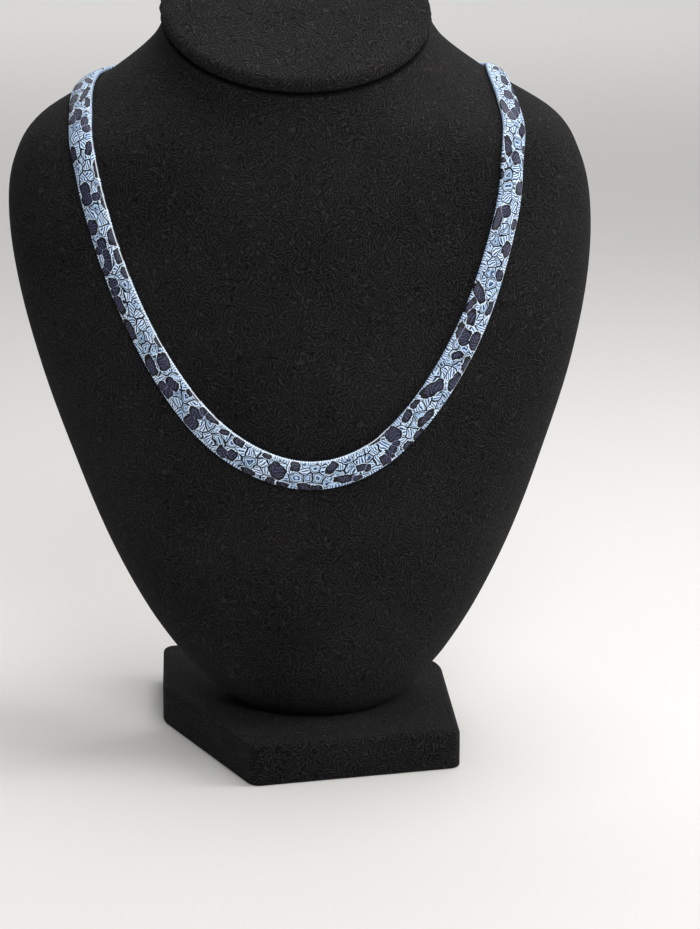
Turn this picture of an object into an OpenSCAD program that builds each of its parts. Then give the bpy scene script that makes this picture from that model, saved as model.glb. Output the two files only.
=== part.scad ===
// A flat snakeskin band worn as a necklace, on an upholstered neck bust.
// X runs to the right of the bust, Y to its back and Z up. The origin is under the middle, on the floor.

/* [Snakeskin band] */
// Width of the band over the chest
band_w = 9.8; // [7:0.1:12]
// Width of the band behind the neck
band_back_w = 8.3; // [6:0.1:12]
// Thickness of the band at its middle, padding included
band_t = 2.4; // [1.8:0.1:3]
// Thickness of the band at its rolled edges
band_edge_t = 1.7; // [1.2:0.1:1.8]
// Clearance that every piece keeps from its neighbour
gap = 0.25; // [0.15:0.05:0.3]

/* [Clasp] */
// Length of the clasp along the loop
clasp_l = 18; // [12:0.5:20]
// Width of the clasp across the band
clasp_w = 10.2; // [9:0.2:13]
// Thickness of the clasp
clasp_t = 3.8; // [3:0.2:5]

/* [Neck cap] */
// How far the padded cap stands out past the neck
cap_over = 0.6; // [0.4:0.2:2]
// Height of the cap's rounded rim
cap_rim_h = 6; // [4:0.5:8]
// Rise of the padding from the rim to the cap's middle
cap_crown = 3; // [1:0.5:5]

/* [Base block] */
// Height of the base block
base_h = 13.75; // [10:0.25:18]
// Depth of the base block, front to back
base_depth = 126; // [116:1:136]
// Width of its front edge
base_front_w = 74; // [66:1:80]
// Width of its widest place
base_wide_w = 106; // [96:1:116]
// Distance of the widest place behind the front edge
base_wide_at = 76; // [66:1:86]
// Width of its back edge
base_back_w = 86; // [76:1:92]
// Radius of its upright corners
base_corner_r = 3.5; // [2:0.5:6]
// Turn of the base block under the bust
base_turn = 10; // [0:1:15]
// The base block's middle, to the right of the bust's
base_x = 2.5; // [0:0.5:4]

/* [Hidden] */

// Level of the bust's foot, just clear of the base block
seat_z = base_h + gap;

// Cross-sections of the bust, from its foot to the top of its neck. Each is an oval on a plane that tilts
// back by the last column. Columns: height of the middle above the foot, half width, the middle's offset to
// the right and to the back, reach of the front and of the back from the middle, tilt in degrees.
BUST = [
    [  0,  27.0,  3.0, -9.0, 27.0, 20,  0],
    [  3,  32.0,  2.8, -9.0, 31.0, 23,  0],
    [  8,  38.0,  2.4, -9.0, 34.0, 26,  0],
    [ 18,  47.5,  2.2, -9.0, 36.0, 28,  0],
    [ 36,  59.5,  1.8, -9.0, 38.0, 29,  0],
    [ 61,  72.0,  1.6, -8.0, 40.0, 30,  0],
    [ 91,  83.5,  1.4, -6.0, 41.0, 30,  0],
    [121,  93.5,  1.2, -3.0, 42.0, 30,  0],
    [151, 100.5,  0.6,  2.0, 42.0, 30,  2],
    [176, 102.5, -0.2,  7.0, 42.4, 31,  5],
    [193,  99.5, -0.6, 11.0, 42.8, 34,  9],
    [206,  91.0, -0.2, 14.0, 44.1, 37, 14],
    [217,  70.0,  0.4, 16.5, 46.0, 41, 19],
    [226,  55.0,  0.2, 18.5, 48.5, 45, 24],
    [233,  49.0, -0.2, 19.8, 50.0, 48, 27],
    [239,  47.0, -1.2, 20.5, 50.0, 50, 28],
];

// Level of the clasp behind the neck
clasp_level = 207;
// Clearance between the clasp and the band's ends, which meet it at a slight angle
band_end_gap = 3 * gap;
// Places that shape the band's route over the bust, from the right of the clasp round to its left. Columns:
// turn round the bust in degrees, with 0 to the right and -90 to the front, and level above the foot.
ROUTE = [
    [  56.5, 208.0],
    [  27.5, 212.0],
    [   1.5, 220.5],
    [ -39.5, 209.5],
    [ -45.0, 194.5],
    [ -52.0, 161.5],
    [ -56.5, 137.5],
    [ -64.5, 113.5],
    [ -75.5,  94.0],
    [ -93.0,  86.5],
    [-111.0,  97.5],
    [-121.0, 116.5],
    [-127.5, 141.0],
    [-132.0, 167.0],
    [-135.5, 188.5],
    [-145.0, 211.0],
    [-188.5, 215.5],
    [-211.0, 211.5],
    [-237.0, 208.0],
];

// The places on the route that the band widens between on its right half and narrows between on its left
WIDENING = [4.4, 7.4];
NARROWING = [10.9, 13.2];

// Rings between two rows of the bust's table, and points round each ring
bust_steps = 3;
bust_around = 56;
// Rings between two points of the band's route
band_steps = 8;
// Levels of padding between the cap's rim and its middle
crown_steps = 5;
// Steps of the rounding on the cap's rim and on the base block's corners
round_steps = 6;
corner_steps = 5;
// Half-steps of turn, level and route that directions on the bust are measured over
probe = 0.5;
route_probe = 0.02;

function unit(v) = v / norm(v);
function last(list) = len(list) - 1;

// A list's value at place t between its entries, on a smooth curve that the entries draw towards them and
// that starts and ends on the first and last
function near_share(u) = (3 * u * u * u - 6 * u * u + 4) / 6;
function far_share(u) = u * u * u / 6;
function drawn(list, t) =
    let (i = max(0, min(floor(t), last(list) - 1)), u = t - i,
         b = list[i], c = list[i + 1],
         a = i > 0 ? list[i - 1] : 2 * b - c,
         d = i + 2 <= last(list) ? list[i + 2] : 2 * c - b)
    far_share(1 - u) * a + near_share(u) * b + near_share(1 - u) * c + far_share(u) * d;

// The bust's cross-section at a level, on a smooth curve of height through the table's rows
function row_below(level, i = 0) =
    i < last(BUST) - 1 && BUST[i + 1][0] <= level ? row_below(level, i + 1) : i;
function slope(i) =
    let (a = BUST[max(i - 1, 0)], b = BUST[min(i + 1, last(BUST))])
    (b - a) / (b[0] - a[0]);
function section(level) =
    let (i = row_below(level), h = BUST[i + 1][0] - BUST[i][0], u = (level - BUST[i][0]) / h)
    (2 * u * u * u - 3 * u * u + 1) * BUST[i] + (u * u * u - 2 * u * u + u) * h * slope(i)
    + (3 * u * u - 2 * u * u * u) * BUST[i + 1] + (u * u * u - u * u) * h * slope(i + 1);

// A point of a section's oval, grown outwards and lifted off the section's own plane
function oval_point(s, turn, grow = 0, lift = 0) =
    let (reach = (sin(turn) < 0 ? s[4] : s[5]) + grow, back = reach * sin(turn), tilt = s[6])
    [s[2] + (s[1] + grow) * cos(turn),
     s[3] + back * cos(tilt) - lift * sin(tilt),
     seat_z + s[0] + back * sin(tilt) + lift * cos(tilt)];
function oval(s, grow = 0, lift = 0) =
    [for (k = [0:bust_around - 1]) oval_point(s, 360 * k / bust_around, grow, lift)];

// The bust's surface at a place [turn, level], and the directions along and out of it
function skin(place) = oval_point(section(place[1]), place[0]);
function by_turn(place) = (skin(place + [probe, 0]) - skin(place - [probe, 0])) / (2 * probe);
function by_level(place) = (skin(place + [0, probe]) - skin(place - [0, probe])) / (2 * probe);
function out_of(place) = unit(cross(by_turn(place), by_level(place)));

// The place on the bust that lies a sideways step away from another, seen along the surface
function sidestep(place, step) =
    let (e = by_turn(place), f = by_level(place),
         ee = e * e, ef = e * f, ff = f * f, se = step * e, sf = step * f, det = ee * ff - ef * ef)
    place + [(ff * se - ef * sf) / det, (ee * sf - ef * se) / det];

// The whole route, whose ends stop just short of the clasp
function end_turn(side) = acos(side * (clasp_l / 2 + band_end_gap) / section(clasp_level)[1]);
WHOLE_ROUTE = concat([[end_turn(1), clasp_level]], ROUTE, [[end_turn(-1) - 360, clasp_level]]);

// A point of the band at place t on its route, a distance across it and a height above its underside
function band_point(t, across, height) =
    let (place = drawn(WHOLE_ROUTE, t),
         ahead = skin(drawn(WHOLE_ROUTE, t + route_probe)),
         behind = skin(drawn(WHOLE_ROUTE, t - route_probe)),
         side = unit(cross(out_of(place), ahead - behind)),
         at = sidestep(place, across * side))
    skin(at) + (gap + height) * out_of(at);

// A smooth rise from 0 to 1 between two places on the route
function risen(t, between) =
    let (u = max(0, min(1, (t - between[0]) / (between[1] - between[0])))) u * u * (3 - 2 * u);

// The band's width at place t on its route
function band_width(t) =
    band_back_w + (band_w - band_back_w) * (risen(t, WIDENING) - risen(t, NARROWING));

// The band's cross-section: flat below, rolled edges, domed on top. Columns: share of the half width, height.
edge_low = 0.25 * band_edge_t;
edge_high = 0.75 * band_edge_t;
BAND_SECTION = [
    [-0.92, 0], [-0.45, 0], [0, 0], [0.45, 0], [0.92, 0], [1, edge_low], [1, edge_high],
    [0.9, band_edge_t], [0.5, 0.25 * band_edge_t + 0.75 * band_t], [0, band_t],
    [-0.5, 0.25 * band_edge_t + 0.75 * band_t], [-0.9, band_edge_t], [-1, edge_high], [-1, edge_low],
];

// A closed solid through a row of rings that all have the same number of points
function end_face(count, first, flip) =
    flip ? [for (k = [count - 1:-1:0]) first + k] : [for (k = [0:count - 1]) first + k];
function wall_faces(count, rows) =
    [for (j = [0:rows - 2], k = [0:count - 1])
        let (a = j * count + k, b = j * count + (k + 1) % count)
        [a, a + count, b + count, b]];
module skinned(rings) {
    count = len(rings[0]);
    rows = len(rings);
    ends = [end_face(count, 0, false), end_face(count, count * (rows - 1), true)];
    polyhedron([for (ring = rings) each ring], concat(wall_faces(count, rows), ends), convexity = 6);
}

// A corner of an outline rounded by an arc that meets both of its edges smoothly
function rounded_corner(before, corner, after, r) =
    let (a = unit(before - corner), b = unit(after - corner), half = acos(a * b) / 2,
         centre = corner + unit(a + b) * r / sin(half),
         start = corner + a * r / tan(half) - centre, sweep = 180 - 2 * half)
    [for (k = [0:corner_steps])
        let (turned = sweep * k / corner_steps)
        centre + [start[0] * cos(turned) - start[1] * sin(turned),
                  start[0] * sin(turned) + start[1] * cos(turned)]];
function rounded_outline(corners, r) =
    let (n = len(corners))
    [for (i = [0:n - 1]) each rounded_corner(corners[(i + n - 1) % n], corners[i], corners[(i + 1) % n], r)];

module snake_band() {
    rings = band_steps * last(WHOLE_ROUTE);
    color([0.63, 0.73, 0.82])
        skinned([for (j = [0:rings])
            let (t = j / band_steps)
            [for (p = BAND_SECTION) band_point(t, p[0] * band_width(t) / 2, p[1])]]);
}

// A flat sleeve with round sides, lying on the back of the neck between the band's two ends
module clasp() {
    place = [90, clasp_level];
    out = out_of(place);
    side_r = clasp_t / 2;
    color([0.72, 0.73, 0.75])
        translate(skin(place) + 2 * gap * out)
            rotate([-atan2(out[1], out[2]), 0, 0])
                translate([-clasp_l / 2, 0, side_r])
                    rotate([90, 0, 90])
                        union() {
                            translate([side_r - clasp_w / 2, -side_r, 0])
                                cube([clasp_w - clasp_t, clasp_t, clasp_l]);
                            for (side = [-1, 1])
                                translate([side * (clasp_w / 2 - side_r), 0, 0])
                                    cylinder(h = clasp_l, r = side_r, $fn = 48);
                        }
}

module bust() {
    rings = bust_steps * last(BUST);
    color([0.115, 0.11, 0.11])
        skinned([for (j = [0:rings])
            let (i = floor(j / bust_steps), k = j % bust_steps,
                 low = BUST[i][0], high = BUST[min(i + 1, last(BUST))][0])
            oval(section(low + (high - low) * k / bust_steps))]);
}

// A padded oval on the neck's slanted top, with a rolled rim that overhangs the neck
module neck_cap() {
    top = BUST[last(BUST)];
    rim_r = cap_rim_h / 2;
    color([0.16, 0.155, 0.155])
        skinned(concat(
            [for (k = [0:round_steps])
                let (a = -90 + 180 * k / round_steps)
                oval(top, cap_over - rim_r + rim_r * cos(a), gap + rim_r + rim_r * sin(a))],
            [for (k = [1:crown_steps])
                let (in = k / (crown_steps + 0.5), rise = cap_crown * (1 - pow(1 - in, 2)))
                oval(top, cap_over - rim_r - in * (top[1] - rim_r), gap + cap_rim_h + rise)]));
}

// A six-sided block, widest behind its middle
module base_block() {
    front = -base_depth / 2;
    wide = front + base_wide_at;
    back = base_depth / 2;
    color([0.09, 0.088, 0.088])
        translate([base_x, 0, 0])
            rotate([0, 0, base_turn])
                linear_extrude(height = base_h)
                    polygon(rounded_outline([
                        [-base_front_w / 2, front], [base_front_w / 2, front], [base_wide_w / 2, wide],
                        [base_back_w / 2, back], [-base_back_w / 2, back], [-base_wide_w / 2, wide],
                    ], base_corner_r));
}

snake_band();
clasp();
bust();
neck_cap();
base_block();
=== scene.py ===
# %% [markdown]
# # A snakeskin band on a suede neck bust
# The necklace is a flat leather band with a padded core, covered in blue and charcoal snakeskin. It lies on
# a black suede bust with a slanted padded cap and a six-sided base. The solids of the model are loaded
# first and stay where they are. Every finer piece below takes its place from them or from the same
# dimensions.

# %% Load the frame
import math
import random

import bmesh
import bpy
import numpy as np
from mathutils import Euler, Matrix, Vector


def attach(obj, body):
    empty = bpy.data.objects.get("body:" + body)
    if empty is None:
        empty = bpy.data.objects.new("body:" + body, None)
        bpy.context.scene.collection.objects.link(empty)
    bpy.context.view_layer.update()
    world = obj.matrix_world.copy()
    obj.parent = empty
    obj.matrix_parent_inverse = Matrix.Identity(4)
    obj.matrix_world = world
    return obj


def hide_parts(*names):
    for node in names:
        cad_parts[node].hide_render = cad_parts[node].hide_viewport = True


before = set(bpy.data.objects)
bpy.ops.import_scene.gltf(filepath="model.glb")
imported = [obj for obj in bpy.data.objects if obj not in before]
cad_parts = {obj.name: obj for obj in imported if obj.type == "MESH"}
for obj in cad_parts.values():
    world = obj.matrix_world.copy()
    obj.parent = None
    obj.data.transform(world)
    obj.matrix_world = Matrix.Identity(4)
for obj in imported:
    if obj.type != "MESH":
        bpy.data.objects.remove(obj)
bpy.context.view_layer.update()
MM = 0.001
print("nodes:", sorted(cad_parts))

# %% [markdown]
# ## The camera
# The bust was seen from slightly above and from a little to its left, with a long lens, so its sides hardly
# converge. Placing the camera first means that every later render can be held against the real thing.

# %% Camera
film_width = 36
lens_length = 100.75
camera_place = (-62.9, -904.6, 305.7)
camera_tilt = 77
camera_turn = -5

camera_data = bpy.data.cameras.new("photo_camera")
camera_data.sensor_width = film_width
camera_data.lens = lens_length
camera = bpy.data.objects.new("photo_camera", camera_data)
camera.location = Vector(camera_place) * MM
camera.rotation_euler = Euler((math.radians(camera_tilt), 0, math.radians(camera_turn)))
bpy.context.scene.collection.objects.link(camera)
bpy.context.scene.camera = camera
print("camera at", tuple(round(value, 3) for value in camera.location))

# %% [markdown]
# ## One surface for everything
# The bust is a stack of ovals, and the band lies on it. Both need the same surface, so the table of
# cross-sections comes first, with a function that gives the point at any turn round the bust and any level
# up it. A smooth curve of height runs through the rows, so sixteen rows are enough.

# %% Cross-sections of the bust
seat_level = 14.0
# Columns: height above the foot, half width, the middle's offset to the right and to the back, reach of the
# front and of the back, tilt in degrees. Lengths are in millimetres.
BUST = np.array([
    [0, 27.0, 3.0, -9.0, 27.0, 20, 0],
    [3, 32.0, 2.8, -9.0, 31.0, 23, 0],
    [8, 38.0, 2.4, -9.0, 34.0, 26, 0],
    [18, 47.5, 2.2, -9.0, 36.0, 28, 0],
    [36, 59.5, 1.8, -9.0, 38.0, 29, 0],
    [61, 72.0, 1.6, -8.0, 40.0, 30, 0],
    [91, 83.5, 1.4, -6.0, 41.0, 30, 0],
    [121, 93.5, 1.2, -3.0, 42.0, 30, 0],
    [151, 100.5, 0.6, 2.0, 42.0, 30, 2],
    [176, 102.5, -0.2, 7.0, 42.4, 31, 5],
    [193, 99.5, -0.6, 11.0, 42.8, 34, 9],
    [206, 91.0, -0.2, 14.0, 44.1, 37, 14],
    [217, 70.0, 0.4, 16.5, 46.0, 41, 19],
    [226, 55.0, 0.2, 18.5, 48.5, 45, 24],
    [233, 49.0, -0.2, 19.8, 50.0, 48, 27],
    [239, 47.0, -1.2, 20.5, 50.0, 50, 28],
])
HEIGHT, HALF_WIDTH, RIGHT, BACK, FRONT_REACH, BACK_REACH, TILT = range(7)
levels = BUST[:, HEIGHT]
slopes = np.gradient(BUST, axis=0)
slopes /= slopes[:, :1]


def section(level):
    """The rows of the table at any heights, on a smooth curve through them."""
    level = np.asarray(level, float)
    i = np.clip(np.searchsorted(levels, level, side="right") - 1, 0, len(levels) - 2)
    height = (levels[i + 1] - levels[i])[..., None]
    u = (level - levels[i])[..., None] / height
    return ((2 * u**3 - 3 * u**2 + 1) * BUST[i] + (u**3 - 2 * u**2 + u) * height * slopes[i]
            + (3 * u**2 - 2 * u**3) * BUST[i + 1] + (u**3 - u**2) * height * slopes[i + 1])


def oval_point(row, turn, lift=0.0):
    """A point of a row's oval, lifted off the oval's own plane."""
    turn = np.radians(turn)
    reach = np.where(np.sin(turn) < 0, row[..., FRONT_REACH], row[..., BACK_REACH])
    back = reach * np.sin(turn)
    tilt = np.radians(row[..., TILT])
    return np.stack([
        row[..., RIGHT] + row[..., HALF_WIDTH] * np.cos(turn),
        row[..., BACK] + back * np.cos(tilt) - lift * np.sin(tilt),
        seat_level + row[..., HEIGHT] + back * np.sin(tilt) + lift * np.cos(tilt),
    ], -1)


def skin(turn, level):
    """The bust's surface at a turn in degrees, with -90 to the front, and a level above the foot."""
    return oval_point(section(level), turn)


print("bust is", round(2 * BUST[:, HALF_WIDTH].max()), "mm wide")

# %% [markdown]
# ## Rolling a sheet
# A bust, a cap and a band are all skins wrapped round something. So one helper makes them: it starts from a
# flat grid, carries every point onto the surface that a function describes, and sews the two long edges
# together. A loft made ring by ring would give the same shape, but a grid keeps a tidy map of the sheet,
# which the band's pattern needs.

# %% Helpers that roll a flat sheet into a tube
close_enough = 0.002 * MM


def rolled_sheet(columns, rows, place):
    """place takes arrays of two shares from 0 to 1 and returns points in millimetres."""
    bm = bmesh.new()
    bm.loops.layers.uv.new("sheet")
    bmesh.ops.create_grid(bm, x_segments=columns, y_segments=rows, size=0.5, calc_uvs=True)
    shares = np.array([(v.co.x + 0.5, v.co.y + 0.5) for v in bm.verts])
    for vertex, point in zip(bm.verts, place(shares[:, 0], shares[:, 1]) * MM):
        vertex.co = point
    bmesh.ops.remove_doubles(bm, verts=bm.verts, dist=close_enough)
    bmesh.ops.recalc_face_normals(bm, faces=bm.faces)
    return bm


def mark(bm, name, depth):
    """Stores a value at every vertex, worked out from its two shares of the sheet."""
    sheet = bm.loops.layers.uv["sheet"]
    layer = bm.verts.layers.float.new(name)
    for face in bm.faces:
        for loop in face.loops:
            loop.vert[layer] = depth(*loop[sheet].uv)


def close_ends(bm):
    """Fills each open end of a tube."""
    open_edges = [edge for edge in bm.edges if edge.is_boundary]
    bmesh.ops.holes_fill(bm, edges=open_edges, sides=0)
    bmesh.ops.recalc_face_normals(bm, faces=bm.faces)


def finished(bm, name, material, node):
    """Makes an object of the mesh, smooth shaded, in the place of a node."""
    mesh = bpy.data.meshes.new(name)
    bm.to_mesh(mesh)
    bm.free()
    for face in mesh.polygons:
        face.use_smooth = True
    piece = bpy.data.objects.new(name, mesh)
    bpy.context.scene.collection.objects.link(piece)
    piece.data.materials.append(material)
    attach(piece, "root")
    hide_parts(node)
    print(name, "has", len(mesh.polygons), "faces")
    return piece


# %% [markdown]
# ## Node helpers
# Materials are trees of nodes. One small class keeps them readable: it adds a node with its settings and
# inputs, does arithmetic, turns a value into a soft step between 0 and 1, and hands the results to the
# shader.

# %% Helpers for materials
middle_grey = (0.5, 0.5, 0.5)


class Finish:
    """A material being built, with short calls for its nodes."""

    def __init__(self, name):
        self.material = bpy.data.materials.new(name)
        self.material.use_nodes = True
        self.tree = self.material.node_tree
        self.shader = self.tree.nodes["Principled BSDF"]

    def node(self, kind, inputs=None, **settings):
        made = self.tree.nodes.new("ShaderNode" + kind)
        for setting, value in settings.items():
            setattr(made, setting, value)
        for socket, value in (inputs or {}).items():
            self.feed(made.inputs[socket], value)
        return made

    def feed(self, socket, value):
        if isinstance(value, bpy.types.NodeSocket):
            self.tree.links.new(value, socket)
        else:
            socket.default_value = value

    def math(self, operation, first, second=0.0):
        return self.node("Math", {0: first, 1: second}, operation=operation).outputs[0]

    def plus(self, first, second):
        return self.math("ADD", first, second)

    def minus(self, first, second):
        return self.math("SUBTRACT", first, second)

    def times(self, first, second):
        return self.math("MULTIPLY", first, second)

    def wave(self, value, pitch, shape="SINE"):
        """A wave between -1 and 1 that comes round at every pitch."""
        return self.math(shape, self.times(value, 2 * math.pi / pitch))

    def vector(self, operation, first, second=(0.0, 0.0, 0.0), output="Vector"):
        return self.node("VectorMath", {0: first, 1: second}, operation=operation).outputs[output]

    def step(self, value, low, high):
        """0 below low and 1 above high, with a soft change between. It falls where low is above high."""
        made = self.node("MapRange", {"Value": value, "From Min": low, "From Max": high},
                         interpolation_type="SMOOTHSTEP")
        return made.outputs["Result"]

    def blend(self, share, first, second):
        return self.node("Mix", {0: share, 6: first, 7: second}, data_type="RGBA").outputs[2]

    def noise(self, place, scale, detail=2.0, roughness=0.5):
        made = self.node("TexNoise", {"Vector": place, "Scale": scale, "Detail": detail,
                                      "Roughness": roughness})
        return made.outputs["Fac"]

    def bent(self, place, scale, reach):
        """The place, pushed aside by a noise."""
        noise = self.node("TexNoise", {"Vector": place, "Scale": scale, "Detail": 1.0}).outputs["Color"]
        push = self.vector("SUBTRACT", noise, middle_grey)
        push = self.node("VectorMath", {0: push, "Scale": reach}, operation="SCALE").outputs["Vector"]
        return self.vector("ADD", place, push)

    def stored(self, name):
        """A value that the mesh stores at its vertices, or 0 where it stores none."""
        return self.node("Attribute", attribute_name=name, attribute_type="GEOMETRY").outputs["Fac"]

    def bump(self, height, depth, below=None):
        inputs = {"Height": height, "Distance": depth, "Strength": 1.0}
        if below is not None:
            inputs["Normal"] = below
        return self.node("Bump", inputs).outputs["Normal"]

    def surface(self, inputs):
        """Gives the shader its colour, gloss and relief, and returns the material."""
        for name, value in inputs.items():
            self.feed(self.shader.inputs[name], value)
        return self.material


def shade(red, green, blue):
    """A colour as a screen shows it, from 0 to 255, as the linear colour that a shader takes."""
    linear = [((c / 255 + 0.055) / 1.055) ** 2.4 if c > 10 else c / 255 / 12.92 for c in (red, green, blue)]
    return (*linear, 1.0)


# %% [markdown]
# ## Black suede
# Suede is the flesh side of leather, brushed to a short nap. It scatters light softly, brightens where it
# is seen edge on, and its nap lies in short curved strokes, a few millimetres long, that point every way.
# Each cell of a Voronoi pattern has its own random colour, and here that colour is the way in which the
# cell's strokes lie. A slow noise gives the faint clouds where the nap was stroked, and a very fine one
# gives single fibres. On the cap and the base the nap was brushed from front to back, so its strokes are
# longer that way. Where a mesh is marked, the colour is darkened to a painted shade, the dark line of the
# groove under the cap's rim. The bust, cap and base are cut from the same hide, so one function makes all
# three.

# %% Suede
tuft_scale = 520.0
curl_scale = 700.0
curl_reach = 1.5
stroke_pitch = 0.9
fibre_scale = 2400.0
fibre_depth = 0.35
cloud_scale = 24.0
cloud_share, ridge_share, furrow_share, fibre_share = 0.18, 0.6, 0.2, 0.5
sheen_grey = shade(200, 198, 196)


def suede(name, dark, light, ground_tone, nap_depth, brushed):
    """brushed is how much longer the strokes are from front to back."""
    finish = Finish(name)
    cut = finish.node("TexCoord").outputs["Object"]
    place = finish.vector("MULTIPLY", cut, (1.0, 1.0 / brushed, 1.0))
    bent = finish.bent(place, curl_scale, curl_reach * MM)
    tufts = finish.node("TexVoronoi", {"Vector": bent, "Scale": tuft_scale})
    lie = finish.vector("NORMALIZE", finish.vector("SUBTRACT", tufts.outputs["Color"], middle_grey))
    strokes = finish.wave(finish.vector("DOT_PRODUCT", bent, lie, output="Value"), stroke_pitch * MM)
    inside = finish.step(tufts.outputs["Distance"], 1.0, 0.5)
    ridge = finish.times(finish.step(strokes, 0.4, 1.0), inside)
    furrow = finish.times(finish.step(strokes, -0.5, -1.0), inside)
    clouds = finish.step(finish.noise(cut, cloud_scale, detail=3.0, roughness=0.55), 0.3, 0.72)
    fibres = finish.noise(place, fibre_scale, roughness=0.7)
    tone = finish.plus(ground_tone, finish.times(clouds, cloud_share))
    tone = finish.plus(tone, finish.times(ridge, ridge_share))
    tone = finish.minus(tone, finish.times(furrow, furrow_share))
    tone = finish.plus(tone, finish.times(finish.minus(fibres, 0.5), fibre_share))
    tone = finish.node("Clamp", {"Value": tone}).outputs[0]
    # Painted shade: where the mesh is marked, the colour goes to the dark end, as the shadow in the groove
    # under the cap's rim.
    tone = finish.times(tone, finish.step(finish.stored("painted_crease_shade"), 0.9, 0.4))
    nap = finish.minus(ridge, furrow)
    return finish.surface({
        "Base Color": finish.blend(tone, dark, light),
        "Roughness": 0.95,
        "Specular IOR Level": 0.1,
        "Sheen Weight": 0.04,
        "Sheen Roughness": 0.5,
        "Sheen Tint": sheen_grey,
        "Normal": finish.bump(nap, nap_depth, finish.bump(fibres, fibre_depth * nap_depth)),
    })


bust_suede = suede("bust_suede", shade(4, 4, 4), shade(45, 43, 44), 0.18, 0.16 * MM, 1.0)
cap_suede = suede("cap_suede", shade(4, 4, 4), shade(49, 47, 47), 0.12, 0.18 * MM, 1.6)
base_suede = suede("base_suede", shade(3, 3, 3), shade(44, 43, 43), 0.12, 0.16 * MM, 1.6)
print("suede finishes:", bust_suede.name, cap_suede.name, base_suede.name)

# %% [markdown]
# ## The bust
# The real bust is a light shaped core with suede drawn over it, so it is one unbroken surface from the foot
# to the neck. It is rolled from a sheet here, with its back edge sewn shut, and the foot's rim is bevelled
# as the folded hide rounds it. The top edge is marked for a painted shade, the shadow under the cap's rim.

# %% Bust
bust_around = 168
bust_rings = 150
foot_round = 1.4 * MM


def bust_place(around, up):
    return skin(360 * around, levels[-1] * up)


bm = rolled_sheet(bust_around, bust_rings, bust_place)
# Painted shade: the top ring, under the cap's rim, is marked to be darkened.
mark(bm, "painted_crease_shade", lambda around, up: float(up > 1 - 0.5 / bust_rings))
close_ends(bm)
foot = min(bm.faces, key=lambda face: face.calc_center_median().z)
bmesh.ops.bevel(bm, geom=list(foot.edges), offset=foot_round, segments=4, profile=0.5, affect="EDGES",
                material=-1)
bust_form = finished(bm, "bust_form", bust_suede, "bust")

# %% [markdown]
# ## The neck cap
# The cap is a padded oval with suede turned under its rim. It swells a little towards the middle, its rim
# is a soft roll, and the hide puckers slightly where it is pulled underneath. The sheet runs from the
# middle of the underside out round the rim and over the crown, and its two ends shrink to single points.
# The part of the roll that turns under is marked for a painted shade, which gives the sharp dark line
# below the rim.

# %% Neck cap
neck_top = BUST[-1]
gap = 0.25
cap_over = 0.6
rim_height = 6.0
rim_r = rim_height / 2
crown_rise = 3.0
cap_around = 168
cap_rows = 64
rim_share = (0.3, 0.52)
painted_shade_share = 0.38
pucker_depth = 0.28
pucker_count = 61
sway_count = 9
sway = 2


def cap_place(around, across):
    turn = 360 * around
    under, top = rim_share
    arc = np.radians(-90 + 180 * np.clip((across - under) / (top - under), 0, 1))
    inwards = np.where(across > top, (across - top) / (1 - top), 0)
    inwards = np.where(across < under, 1 - across / under, inwards)
    pulls = np.sin(np.radians(turn) * pucker_count + sway * np.sin(np.radians(turn) * sway_count))
    pucker = pucker_depth * pulls * np.cos(arc)
    grow = cap_over - rim_r + (rim_r + pucker) * np.cos(arc)
    crown = np.where(across > top, crown_rise * (1 - (1 - inwards) ** 2), 0)
    row = np.tile(neck_top, (len(turn), 1))
    for column in (HALF_WIDTH, FRONT_REACH, BACK_REACH):
        row[:, column] = (row[:, column] + grow) * (1 - inwards)
    return oval_point(row, turn, gap + rim_r + rim_r * np.sin(arc) + crown)


bm = rolled_sheet(cap_around, cap_rows, cap_place)
# Painted shade: the underside of the roll is marked to be darkened.
mark(bm, "painted_crease_shade", lambda around, across: float(across < painted_shade_share))
neck_pad = finished(bm, "neck_pad", cap_suede, "neck_cap")

# %% [markdown]
# ## The base block
# The base is a board cut to six sides and covered in the same suede. Six vertices make its outline, an
# extrusion gives its height, and two bevels round first the upright corners and then the edges where the
# hide folds over the board.

# %% Base block
base_h = 13.75
base_depth = 126.0
base_front_w = 74.0
base_wide_w = 106.0
base_wide_at = 76.0
base_back_w = 86.0
base_corner_r = 3.5
base_turn = math.radians(10)
base_x = 2.5
top_round = 2.0
bottom_round = 0.8
fold_angle = math.radians(25)


def base_corners():
    front = -base_depth / 2
    for width, along in ((base_front_w, front), (base_wide_w, front + base_wide_at), (base_back_w, -front)):
        yield width / 2, along
    for width, along in ((base_back_w, -front), (base_wide_w, front + base_wide_at), (base_front_w, front)):
        yield -width / 2, along


bm = bmesh.new()
outline = [bm.verts.new(Vector((x, y, 0)) * MM) for x, y in base_corners()]
bmesh.ops.contextual_create(bm, geom=outline)
raised = bmesh.ops.extrude_face_region(bm, geom=list(bm.faces))
top_vertices = [item for item in raised["geom"] if isinstance(item, bmesh.types.BMVert)]
bmesh.ops.translate(bm, verts=top_vertices, vec=(0, 0, base_h * MM))
bmesh.ops.recalc_face_normals(bm, faces=bm.faces)
upright = [edge for edge in bm.edges if abs(edge.verts[0].co.z - edge.verts[1].co.z) > MM]
bmesh.ops.bevel(bm, geom=upright, offset=base_corner_r * MM, segments=8, profile=0.5, affect="EDGES",
                material=-1)
for level, radius in ((base_h, top_round), (0, bottom_round)):
    fold = [edge for edge in bm.edges
            if all(abs(v.co.z - level * MM) < close_enough for v in edge.verts)
            and any(abs(face.normal.z) < 0.5 for face in edge.link_faces)]
    bmesh.ops.bevel(bm, geom=fold, offset=radius * MM, segments=5, profile=0.5, affect="EDGES", material=-1)
bmesh.ops.transform(bm, matrix=Matrix.Translation((base_x * MM, 0, 0)) @ Matrix.Rotation(base_turn, 4, "Z"),
                    verts=bm.verts)
covered_base = finished(bm, "covered_base", base_suede, "base_block")
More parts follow.
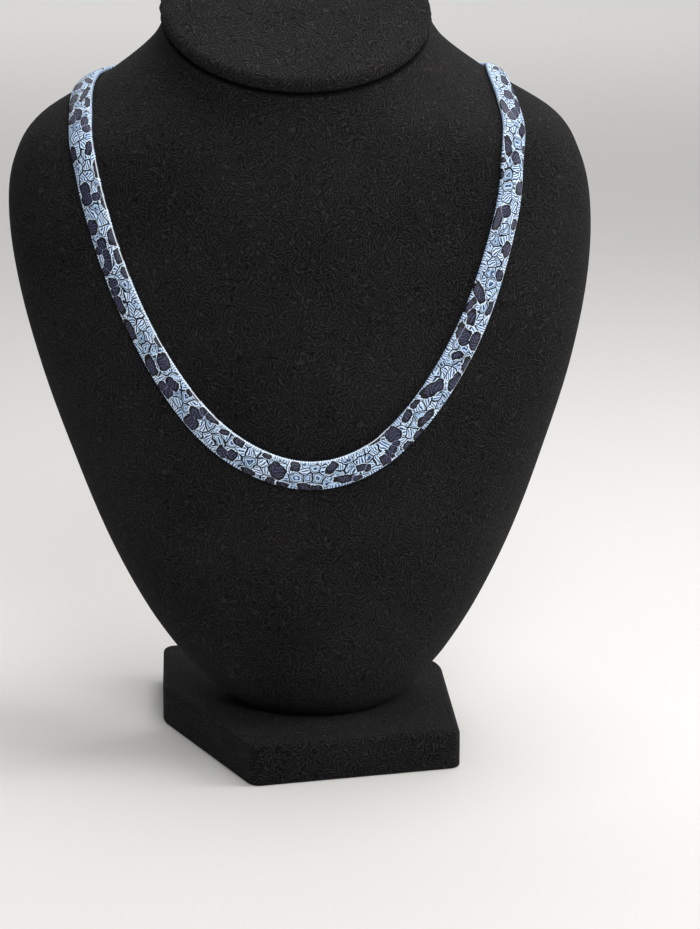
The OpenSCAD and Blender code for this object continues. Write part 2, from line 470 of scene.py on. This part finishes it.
covered_base.data.set_sharp_from_angle(angle=fold_angle)

# %% [markdown]
# ## The band's route
# The band drapes as a close U over the chest and goes round the back of the neck. Its middle line is a
# smooth curve drawn through a few places on the bust, each given as a turn and a level. A curve object in
# space could follow it too, but it would have to be pressed onto the bust afterwards.

# %% Route of the band over the bust
clasp_level = 207.0
clasp_l = 18.0
band_end_gap = 3 * gap
# Columns: turn round the bust in degrees, level above the foot
ROUTE = [
    [56.5, 208.0], [27.5, 212.0], [1.5, 220.5], [-39.5, 209.5], [-45.0, 194.5], [-52.0, 161.5],
    [-56.5, 137.5], [-64.5, 113.5], [-75.5, 94.0], [-93.0, 86.5], [-111.0, 97.5], [-121.0, 116.5],
    [-127.5, 141.0], [-132.0, 167.0], [-135.5, 188.5], [-145.0, 211.0], [-188.5, 215.5],
    [-211.0, 211.5], [-237.0, 208.0],
]
end_turn = math.degrees(math.acos((clasp_l / 2 + band_end_gap) / section(clasp_level)[HALF_WIDTH]))
route = np.array([[end_turn, clasp_level], *ROUTE, [180 - end_turn - 360, clasp_level]])
beyond = np.vstack([2 * route[0] - route[1], route, 2 * route[-1] - route[-2]])


def drawn(t):
    """The place [turn, level] at t along the route, on a curve that its places draw towards them."""
    i = np.clip(np.floor(t).astype(int), 0, len(route) - 2)
    u = (t - i)[:, None]
    weights = ((1 - u) ** 3, 3 * u**3 - 6 * u**2 + 4, 3 * (1 - u) ** 3 - 6 * (1 - u) ** 2 + 4, u**3)
    return sum(weight * beyond[i + k] for k, weight in enumerate(weights)) / 6


def lengths_along(points):
    """The distance from the first point to each point, along the line through them."""
    return np.concatenate([[0], np.cumsum(np.linalg.norm(np.diff(points, axis=0), axis=1))])


fine_t = np.linspace(0, len(route) - 1, 6001)
fine_s = lengths_along(skin(*drawn(fine_t).T))
band_l = fine_s[-1]
print("band's middle line is", round(band_l, 1), "mm long")

# %% [markdown]
# ## Laying the band on the surface
# A leather band keeps its width and lies flat wherever it goes. So a point of it is found in three moves:
# go along the middle line, step sideways on the bust's surface at a right angle to the way of travel, and
# rise off the surface by the point's height in the band. Two small probes measure how the surface runs at
# each place.

# %% The band's surface
probe = 0.5
route_probe = 0.02


def unit(vectors):
    return vectors / np.linalg.norm(vectors, axis=-1, keepdims=True)


def directions(place):
    """How far the surface moves for a degree of turn and for a millimetre of level."""
    turn, level = place.T
    by_turn = (skin(turn + probe, level) - skin(turn - probe, level)) / (2 * probe)
    by_level = (skin(turn, level + probe) - skin(turn, level - probe)) / (2 * probe)
    return by_turn, by_level


def band_point(along, across, height):
    """A point of the band from its distance along and across and its height above the underside."""
    t = np.interp(along, fine_s, fine_t)
    place = drawn(t)
    by_turn, by_level = directions(place)
    travel = skin(*drawn(t + route_probe).T) - skin(*drawn(t - route_probe).T)
    side = unit(np.cross(np.cross(by_turn, by_level), travel)) * across[:, None]
    grid = np.stack([by_turn, by_level], 1)
    step = np.linalg.solve(grid @ grid.transpose(0, 2, 1), grid @ side[:, :, None])[:, :, 0]
    there = place + step
    out = unit(np.cross(*directions(there)))
    return skin(*there.T) + (gap + height)[:, None] * out


halfway = band_point(np.array([band_l / 2]), np.array([0.0]), np.array([0.0]))[0]
print("halfway along, the band lies at", tuple(round(float(value), 1) for value in halfway), "mm")

# %% [markdown]
# ## The pattern of the skin
# A snake's blotches are irregular lobes, darkest at their rims, that gather along both edges of the band.
# They were charted, a row for each lobe, and lobes that touch grow together. The stretch behind the
# neck has no chart: seeded chance lays lobes of the same sizes along it. Painting the blotches as an image
# would be simpler, but a chart stays sharp at any size and can be corrected lobe by lobe.

# %% Chart of the blotches
# Columns: distance along the band and across it, length, width, turn in degrees. Lengths are in millimetres.
BLOTCHES = [
    (85.7, 1.0, 6.4, 3.5, -15), (90.4, 4.3, 7.0, 2.1, -15), (95.6, 0.3, 5.2, 4.0, -10),
    (100.9, 3.0, 7.0, 2.4, -8), (105.6, 0.6, 5.0, 3.1, -15), (107.5, -1.3, 4.4, 3.1, 15),
    (102.6, -3.5, 6.8, 2.8, 12), (112.7, 2.9, 5.4, 2.4, -15), (119.8, 4.6, 3.2, 1.9, 0),
    (120.4, -3.0, 6.4, 2.4, 12), (124.1, 0.6, 4.2, 3.8, 40), (125.1, -4.5, 1.4, 1.6, 0),
    (130.1, -5.0, 3.2, 1.9, 0), (134.0, 3.3, 4.8, 3.2, -8), (143.2, -1.4, 4.0, 3.8, 0),
    (146.3, -3.6, 7.6, 2.9, -6), (146.4, 3.6, 3.4, 2.4, -15), (155.3, 2.8, 5.0, 3.7, -15),
    (164.6, 2.8, 3.6, 3.0, 0), (176.2, 3.3, 4.4, 2.0, 0), (172.4, -2.8, 7.4, 3.1, 38),
    (177.6, -3.9, 5.4, 2.0, -20), (181.5, -1.9, 5.2, 2.8, 12), (188.3, 2.8, 5.6, 3.6, 0),
    (188.8, -1.3, 5.4, 3.6, 0), (187.6, -3.6, 5.0, 1.8, 8), (195.5, -0.8, 3.8, 2.0, -45),
    (196.4, 3.8, 4.8, 2.4, 0), (203.3, 3.5, 6.0, 3.4, -5), (209.5, -1.9, 8.4, 3.6, -24),
    (218.7, 2.3, 6.8, 2.6, -12), (217.6, -3.8, 3.4, 1.6, 0), (222.3, -3.3, 5.0, 2.2, 12),
    (224.5, 4.3, 3.6, 2.4, 0), (229.2, 4.1, 3.2, 2.2, 0), (230.5, -2.3, 5.2, 4.8, 0),
    (231.8, 0.5, 2.4, 2.6, 30), (233.8, 1.5, 3.0, 2.8, 20), (235.7, 2.0, 1.6, 3.6, 25),
    (237.8, 2.8, 3.2, 3.8, -10), (236.1, -4.7, 5.2, 1.2, 0), (244.1, 2.0, 2.4, 2.0, 0),
    (245.8, 0.9, 3.2, 2.2, -15), (248.8, 3.7, 3.0, 1.8, -20), (252.2, 2.6, 6.0, 2.4, -12),
    (255.5, -2.3, 4.8, 2.2, 32), (261.4, 4.1, 3.2, 1.8, 0), (265.0, 3.9, 3.4, 2.6, 0),
    (268.8, -3.0, 3.2, 3.0, 0), (271.7, 4.1, 3.0, 1.6, 0), (274.6, -0.1, 6.0, 4.6, -30),
    (275.7, 4.0, 2.6, 2.2, 0), (279.6, -3.9, 2.8, 1.6, 0), (283.2, 3.9, 4.0, 2.0, 0),
    (290.5, 1.7, 3.2, 3.6, 0), (293.5, 2.7, 3.8, 3.2, -15), (290.9, -3.5, 3.6, 2.4, 0),
    (297.0, -3.2, 2.8, 1.4, 20), (307.6, 2.5, 5.0, 4.1, 0), (308.6, -1.2, 4.8, 2.9, 10),
    (307.4, -3.3, 2.8, 2.5, 0), (303.6, -3.9, 5.4, 2.0, 10), (313.0, -5.1, 3.6, 1.5, 0),
    (315.5, -4.3, 2.2, 1.9, 0), (319.9, 2.7, 3.4, 3.5, 0), (322.6, 3.0, 3.2, 3.3, 10),
    (321.2, -0.5, 4.6, 3.3, 10), (330.2, 2.7, 7.0, 3.6, -6), (329.2, -2.3, 5.8, 4.1, -18),
    (336.1, -4.6, 3.8, 2.1, 0), (344.1, 3.6, 7.2, 3.3, 0), (353.1, 3.3, 6.2, 3.5, 8),
    (358.1, 2.3, 3.0, 4.0, 25), (360.5, 2.1, 3.2, 3.8, -25), (362.2, -4.2, 3.8, 2.6, 20),
    (365.1, 3.5, 2.8, 3.3, 0), (366.7, 1.3, 3.8, 3.3, -20), (370.2, 0.5, 3.6, 2.8, 10),
    (372.4, 3.1, 2.4, 3.3, 0), (374.1, 0.9, 3.8, 3.5, -10), (368.5, -3.8, 4.6, 2.8, 0),
    (375.3, -3.8, 6.0, 3.1, -5), (380.4, 2.8, 4.8, 4.5, -10), (390.0, 1.8, 3.8, 4.5, 0),
    (393.4, 1.6, 4.0, 4.3, 0), (390.0, -2.4, 2.4, 4.0, 0), (387.3, -4.6, 4.4, 1.9, 8),
    (391.5, -4.4, 3.2, 1.9, -12), (399.3, -4.7, 4.8, 1.7, 0), (406.7, 3.6, 4.8, 3.3, 0),
    (407.0, -3.4, 4.4, 2.4, -15), (415.1, -3.2, 3.6, 2.8, 20), (418.2, -2.5, 5.0, 2.4, 0),
    (420.8, 2.8, 4.4, 3.5, -20), (422.7, 0.5, 6.2, 3.3, 8), (429.1, 3.6, 5.2, 2.1, -10),
    (433.4, 2.6, 5.6, 3.5, -5), (429.0, -3.4, 5.2, 1.9, 0), (435.1, -2.2, 8.0, 1.9, -18),
    (442.4, 1.7, 5.0, 4.3, 0), (445.1, -2.7, 5.0, 2.6, 30), (451.4, 3.3, 5.0, 3.5, 25),
]
charted_from, charted_to = 81, 455
end_margin = 3
lobe_across = (1.4, 3.8)
lobe_length = (3.2, 6.2)
lobe_slimness = (0.45, 0.8)
lobe_turn = (-30, 30)
lobe_pitch = (2.6, 5.0)
chance = random.Random(7)


def hidden_blotches(start, end):
    """Lobes by seeded chance, alternating between the band's two edges."""
    along = start
    edge = 1
    while along < end:
        length = chance.uniform(*lobe_length)
        across = edge * chance.uniform(*lobe_across)
        width = length * chance.uniform(*lobe_slimness)
        yield along, across, length, width, chance.uniform(*lobe_turn)
        along += chance.uniform(*lobe_pitch)
        edge = -edge


all_blotches = [*hidden_blotches(end_margin, charted_from), *BLOTCHES,
                *hidden_blotches(charted_to, band_l - end_margin)]
print(len(BLOTCHES), "charted lobes and", len(all_blotches) - len(BLOTCHES), "more behind the neck")

# %% [markdown]
# ## The distance to a rim
# Each point of the band stores its distance to the nearest rim, so the material can draw a rim, a halo and
# a filling from one number. It also stores how much further the next lobe is, which is near 0 along the
# line where two lobes part. A lobe is an oval with fuller corners, as real blotches are nearly as square as
# they are round.

# %% Distance to the nearest blotch
squareness = 2.8
far = 9.0
lookout = 6


def rim_distances(along, across):
    """Millimetres from each point to the rims of the nearest blotch and the next, below 0 inside them."""
    nearest = np.full(len(along), far)
    second = np.full(len(along), far)
    for middle, side, length, width, turn in all_blotches:
        near = np.abs(along - middle) < length + lookout
        cos, sin = math.cos(math.radians(turn)), math.sin(math.radians(turn))
        x, y = along[near] - middle, across[near] - side
        lengthwise = np.abs(x * cos + y * sin) / (length / 2)
        sideways = np.abs(y * cos - x * sin) / (width / 2)
        reach = (lengthwise**squareness + sideways**squareness) ** (1 / squareness)
        distance = (reach - 1) * min(length, width) / 2
        second[near] = np.minimum(second[near], np.maximum(nearest[near], distance))
        nearest[near] = np.minimum(nearest[near], distance)
    return nearest, second


first_lobe = np.array(BLOTCHES[0][:2])[:, None]
print("the first charted lobe reaches", round(-rim_distances(*first_lobe)[0][0], 2), "mm in from its rim")

# %% [markdown]
# ## Snakeskin: the map of the sheet
# The pattern has to follow the band round its bends, so it reads the sheet's own map, in millimetres along
# the band and across it. With Object coordinates the pattern would be cut off at the band's edges instead
# of turning with them. A noise pushes the map a little aside, because no line on a real skin is quite
# straight.

# %% The map of the sheet
waver_scale = 0.4
waver_reach = 2.0

hide = Finish("snakeskin")
sheet_map = hide.node("UVMap", uv_map="sheet").outputs["UV"]
spot = hide.vector("MULTIPLY", sheet_map, (1 / MM, 1 / MM, 0))
spread = hide.node("SeparateXYZ", {0: spot})
spot_along, spot_across = spread.outputs[0], spread.outputs[1]
bent_spot = hide.bent(spot, waver_scale, waver_reach)
print("the map takes", len(hide.tree.nodes), "nodes")

# %% [markdown]
# ## Snakeskin: the scales
# The skin is crossed by scales, small many-sided cells that are a little longer along the band. A Voronoi
# pattern makes such cells. It gives the distance to the nearest border, for outlines and rings, and a
# random colour for each cell, whose three parts here decide how the cell's lines lie, which kind of marking
# it has and how deep its blue is. Scales set in regular rows would be simpler, but would look like printed
# net.

# %% Scales
scale_size = 3.1
scale_stretch = 0.8
scale_disorder = 0.85

longer = hide.vector("MULTIPLY", bent_spot, (scale_stretch, 1.0, 1.0))
scale_inputs = {"Vector": longer, "Scale": 1 / scale_size, "Randomness": scale_disorder}
scales = hide.node("TexVoronoi", scale_inputs, voronoi_dimensions="2D")
borders = hide.node("TexVoronoi", scale_inputs, voronoi_dimensions="2D", feature="DISTANCE_TO_EDGE")
border = hide.times(borders.outputs["Distance"], scale_size)
own = hide.node("SeparateColor", {"Color": scales.outputs["Color"]})
lie, kind, depth = own.outputs[0], own.outputs[1], own.outputs[2]
print("scales are about", scale_size, "mm across and", round(scale_size / scale_stretch, 1), "mm long")

# %% [markdown]
# ## Snakeskin: the lines in the scales
# Fine lines fill most scales, and every scale's lines run their own way. Some scales have rings that follow
# their border instead, and a few are mottled. Along both edges of the band the scales give way to short
# lines that run straight across, and a noise makes that strip wander. Sine waves, turned by each scale's
# random number, draw all the lines.

# %% Lines, rings and mottling
# A pair of numbers says where a soft step starts and ends.
line_pitch = 0.9
line_step = (-0.4, 0.3)
ring_pitch = 0.85
ring_step = (-0.5, 0.5)
mottle_scale = 1.1
mottle_step = (0.4, 0.58)
strip_scale = 0.22
strip_wander = 5.0
strip_step = (6.5, 6.8)

wander = hide.times(hide.noise(spot, strip_scale, detail=1.0), strip_wander)
strip = hide.step(hide.plus(hide.math("ABSOLUTE", spot_across), wander), *strip_step)
inner = hide.minus(1.0, strip)
line_turn = hide.times(hide.times(lie, math.pi), inner)
turned = hide.node("VectorRotate", {"Vector": bent_spot, "Angle": line_turn}, rotation_type="Z_AXIS")
line_wave = hide.wave(hide.node("SeparateXYZ", {0: turned.outputs[0]}).outputs[0], line_pitch)
lines = hide.step(line_wave, *line_step)
rings = hide.step(hide.wave(border, ring_pitch, "COSINE"), *ring_step)
mottle = hide.step(hide.noise(bent_spot, mottle_scale, detail=1.0), *mottle_step)
print("lines lie", line_pitch, "mm apart and rings", ring_pitch, "mm")

# %% [markdown]
# ## Snakeskin: the ground's colours
# The ground is a pale blue that is deeper in some scales and in slow clouds. Dark blue ink draws the lines,
# a pale rim lies just inside every scale, and a thin, nearly black line parts the scales.

# %% Colours of the ground
glaze_white = shade(222, 238, 255)
outline_ink = shade(6, 10, 28)
comb_ink = shade(58, 80, 122)
skin_cloud_scale = 0.3
cloud_step = (0.32, 0.68)
ringed_step = (0.2, 0.22)
mottled_step = (0.84, 0.86)
pale_rim_step = (0.48, 0.4)
pale_rim_strength = 0.7
outline_step = (0.26, 0.19)

clouds = hide.step(hide.noise(spot, skin_cloud_scale, detail=3.0), *cloud_step)
tone = hide.plus(hide.times(depth, 0.5), hide.times(clouds, 0.5))
ink = hide.blend(tone, shade(14, 27, 64), shade(44, 68, 114))
blue = hide.blend(tone, shade(144, 175, 210), shade(202, 225, 246))
pale = hide.blend(tone, shade(190, 220, 250), glaze_white)
ringed, lined = hide.blend(rings, ink, blue), hide.blend(lines, ink, pale)
ground = hide.blend(hide.step(kind, *ringed_step), ringed, lined)
ground = hide.blend(hide.step(kind, *mottled_step), ground, hide.blend(mottle, ink, blue))
pale_rim = hide.times(hide.step(border, *pale_rim_step), pale_rim_strength)
ground = hide.blend(pale_rim, ground, pale)
ground = hide.blend(strip, ground, hide.blend(lines, comb_ink, pale))
scale_outline = hide.times(hide.step(border, *outline_step), inner)
ground = hide.blend(scale_outline, ground, outline_ink)
print("the ground takes", len(hide.tree.nodes), "nodes so far")

# %% [markdown]
# ## Snakeskin: the blotches
# The charcoal blotches lie over the scales. Their rims are darker, their filling looks woven, a faint light
# line parts two lobes that touch, and a white halo surrounds them. The stored distances draw all of it, and
# a noise added to them makes the rims ragged.

# %% Blotches
ragged_scale = 0.48
ragged_reach = 1.9
ragged_middle = 0.62
halo_step = (0.26, 0.15)
halo_least = 0.4
weave_step = (0.0, 0.9)
dark_rim_step = (-0.6, -0.42)
parting_step = (0.3, 0.18)
blotch_step = (0.05, 0.0)

ragged = hide.minus(hide.noise(spot, ragged_scale, detail=3.0, roughness=0.56), ragged_middle)
rim = hide.plus(hide.stored("rim"), hide.times(ragged, ragged_reach))
halo = hide.plus(halo_least, hide.times(clouds, 1 - halo_least))
halo = hide.times(hide.step(rim, *halo_step), halo)
skin_colour = hide.blend(halo, ground, glaze_white)
filling = hide.blend(hide.step(line_wave, *weave_step), shade(24, 26, 40), shade(72, 75, 104))
filling = hide.blend(hide.step(rim, *dark_rim_step), filling, shade(3, 4, 12))
filling = hide.blend(hide.step(hide.stored("parting"), *parting_step), filling, shade(116, 120, 150))
skin_colour = hide.blend(hide.step(rim, *blotch_step), skin_colour, filling)
print("rims wander by up to", round(ragged_reach * (1 - ragged_middle), 1), "mm")

# %% [markdown]
# ## Snakeskin: the painted edge highlight and the glaze
# A thin pale line is painted along the band's rolled edge as a painted highlight, where the edge would catch
# the light from the upper right: on the inner edge of the U over one half of the chest, where it is
# stronger, and on the outer edge over the other half, fading out past one shoulder. The glazed surface has a
# thin clear
# coat, and its relief is very low: scales stand up by a few hundredths of a millimetre and blotches lie a
# little higher.

# %% Painted edge highlight and glaze
half_step = (205, 235)
shoulder_step = (430, 390)
highlight_rise_step = (4.5, 4.7)
highlight_fall_step = (5.2, 4.9)
highlight_white = shade(240, 248, 255)
highlight_least = 0.35
highlight_gain = 0.4
border_step = (0.0, 0.45)
blotch_relief_step = (0.15, -0.3)
line_relief = 0.3
blotch_relief = 0.6
relief_depth = 0.05

second_half = hide.step(spot_along, *half_step)
highlight_side_across = hide.times(spot_across, hide.minus(1.0, hide.times(second_half, 2.0)))
# Painted highlight: a pale line on the edge that faces the light, the inner edge on one half and the outer
# edge on the other.
edge = hide.times(hide.step(highlight_side_across, *highlight_rise_step), hide.step(highlight_side_across, *highlight_fall_step))
highlight_share = hide.plus(hide.times(second_half, highlight_gain), highlight_least)
highlight_share = hide.times(highlight_share, hide.step(spot_along, *shoulder_step))
skin_colour = hide.blend(hide.times(edge, highlight_share), skin_colour, highlight_white)
relief = hide.plus(hide.step(border, *border_step), hide.times(lines, line_relief))
relief = hide.plus(relief, hide.times(hide.step(rim, *blotch_relief_step), blotch_relief))
snakeskin = hide.surface({
    "Base Color": skin_colour,
    "Roughness": 0.5,
    "Specular IOR Level": 0.2,
    "Coat Weight": 0.1,
    "Coat Roughness": 0.25,
    "Normal": hide.bump(relief, relief_depth * MM),
})
print("snakeskin has", len(snakeskin.node_tree.nodes), "nodes")

# %% [markdown]
# ## The band's cross-section
# A strip of skin is wrapped round a flat padded core, and its edges meet underneath. So the sheet starts
# under the band's middle, goes round one rolled edge, over the domed top and back under the other edge.

# %% Cross-section of the band
band_w = 9.8
band_t = 2.4
band_edge_t = 1.7
edge_r = band_edge_t / 2
flat_half = band_w / 2 - edge_r
under_steps, edge_steps, top_steps = 4, 6, 26


def band_outline():
    """The band's cross-section as points across and up, from the middle of the underside round to it."""
    points = [(flat_half * k / under_steps, 0.0) for k in range(under_steps)]
    for k in range(edge_steps):
        angle = math.pi * (k / edge_steps - 0.5)
        points.append((flat_half + edge_r * math.cos(angle), edge_r + edge_r * math.sin(angle)))
    for k in range(top_steps + 1):
        share = 1 - 2 * k / top_steps
        points.append((flat_half * share, band_edge_t + (band_t - band_edge_t) * (1 - share**2)))
    return np.array(points + [(-x, z) for x, z in reversed(points[: under_steps + edge_steps])])


outline_points = band_outline()
outline_count = np.arange(len(outline_points))
outline_s = lengths_along(outline_points)
top_middle = outline_s[len(outline_s) // 2]
print("a strip of skin", round(float(outline_s[-1]), 1), "mm wide goes round the band")

# %% [markdown]
# ## The band
# Over the shoulders the band narrows a little, as neck straps often do where they run to the clasp. The
# sheet's map keeps real distances over the chest, with 0 along the middle of the top, and is squeezed with
# the band where it narrows. A curve with a bevel would give the same form, but not the map.

# %% Band
band_back_w = 8.3
widening, narrowing = (4.4, 7.4), (10.9, 13.2)
row_pitch = 0.42
band_rings = round(band_l / row_pitch)


def risen(t, between):
    """0 before and 1 after two places on the route, with a smooth rise between them."""
    u = np.clip((t - between[0]) / (between[1] - between[0]), 0, 1)
    return u**2 * (3 - 2 * u)


def width_share(along):
    """The band's width at a distance along it, as a share of its width over the chest."""
    t = np.interp(along, fine_s, fine_t)
    front = risen(t, widening) - risen(t, narrowing)
    return (band_back_w + (band_w - band_back_w) * front) / band_w


def band_place(around, along):
    index = around * (len(outline_points) - 1)
    across = np.interp(index, outline_count, outline_points[:, 0])
    height = np.interp(index, outline_count, outline_points[:, 1])
    return band_point(along * band_l, across * width_share(along * band_l), height)


def chart_band(bm):
    """Turns the sheet's map into real distances and stores every point's distance to a blotch's rim."""
    sheet = bm.loops.layers.uv["sheet"]
    rim_layer = bm.verts.layers.float.new("rim")
    parting_layer = bm.verts.layers.float.new("parting")
    loops = [loop for face in bm.faces for loop in face.loops]
    for loop in loops:
        around, along = loop[sheet].uv
        across = top_middle - np.interp(around * (len(outline_points) - 1), outline_count, outline_s)
        loop[sheet].uv = (along * band_l * MM, across * MM)
    chart = np.array([loop[sheet].uv for loop in loops]) / MM
    for loop, nearest, second in zip(loops, *rim_distances(chart[:, 0], chart[:, 1])):
        loop.vert[rim_layer] = nearest
        loop.vert[parting_layer] = second - nearest


bm = rolled_sheet(len(outline_points) - 1, band_rings, band_place)
chart_band(bm)
close_ends(bm)
skin_band = finished(bm, "skin_band", snakeskin, "snake_band")

# %% [markdown]
# ## The clasp
# The clasp hides behind the neck, so it is a plain sleeve. Its solid already has the right shape, and only
# needs a brushed metal: fine lines along the sleeve, made by stretching a noise.

# %% Clasp metal
grain_scale = (60.0, 2400.0, 2400.0)
grain_depth = 0.01


def brushed_metal():
    finish = Finish("clasp_metal")
    place = finish.node("TexCoord").outputs["Object"]
    stretched = finish.node("Mapping", {"Vector": place, "Scale": grain_scale}).outputs[0]
    grain = finish.noise(stretched, 1.0, detail=3.0, roughness=0.6)
    return finish.surface({
        "Base Color": finish.blend(grain, shade(186, 188, 192), shade(224, 226, 230)),
        "Roughness": finish.plus(finish.times(grain, 0.2), 0.2),
        "Metallic": 1.0,
        "Normal": finish.bump(grain, grain_depth * MM),
    })


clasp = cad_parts["clasp"]
clasp.data.materials.clear()
clasp.data.materials.append(brushed_metal())

# %% [markdown]
# ## The floor
# The setting is a plain pale floor. It is one flat square, wide enough that its far edge stays well behind
# the bust from every side. A curved backdrop would hide that edge, but it would stand in the way of the
# other views.

# %% Floor
floor_size = 40.0
floor_finish = Finish("floor")
bm = bmesh.new()
bmesh.ops.create_grid(bm, x_segments=1, y_segments=1, size=floor_size / 2)
floor_mesh = bpy.data.meshes.new("floor")
bm.to_mesh(floor_mesh)
bm.free()
floor = bpy.data.objects.new("floor", floor_mesh)
floor.data.materials.append(floor_finish.surface({"Base Color": shade(214, 212, 209), "Roughness": 0.8}))
bpy.context.scene.collection.objects.link(floor)
print("floor is", floor_size, "m wide")

# %% [markdown]
# ## The light
# Black suede keeps its form only if light comes from more than one side. A large softbox hangs above, a
# little to the right, and lights the cap and the shoulders. A tall one grazes the right side, and one high
# in front fills the chest. A very wide one lights the far floor alone, so the picture stays pale up to its
# top edge, and an even studio world opens the shadows.

# %% Light
world_strength = 0.22
chest = (0, 0, 0.16)
far_floor = (0, 5, 0)

world = bpy.data.worlds.new("studio")
world.use_nodes = True
world.node_tree.nodes["Background"].inputs["Color"].default_value = shade(225, 228, 232)
world.node_tree.nodes["Background"].inputs["Strength"].default_value = world_strength
bpy.context.scene.world = world


def softbox(name, place, aim, width, height, watts):
    data = bpy.data.lights.new(name, "AREA")
    data.shape = "RECTANGLE"
    data.size = width
    data.size_y = height
    data.energy = watts
    light = bpy.data.objects.new(name, data)
    light.location = place
    light.rotation_euler = (Vector(aim) - Vector(place)).to_track_quat("-Z", "Y").to_euler()
    bpy.context.scene.collection.objects.link(light)
    print(name, "gives", watts, "watts")


softbox("top_box", (0.25, 0.1, 1.15), chest, 0.7, 0.7, 9)
softbox("right_box", (1.0, -0.15, 0.55), chest, 0.4, 1.0, 6.5)
softbox("front_box", (0.2, -1.15, 1.0), chest, 0.7, 0.7, 11)
softbox("floor_box", (0, 5, 3), far_floor, 6, 6, 180)

# %% [markdown]
# ## Colour
# The Standard view keeps the colours as they were chosen, where a filmic one would grey the blues.

# %% Colour
bpy.context.scene.view_settings.view_transform = "Standard"
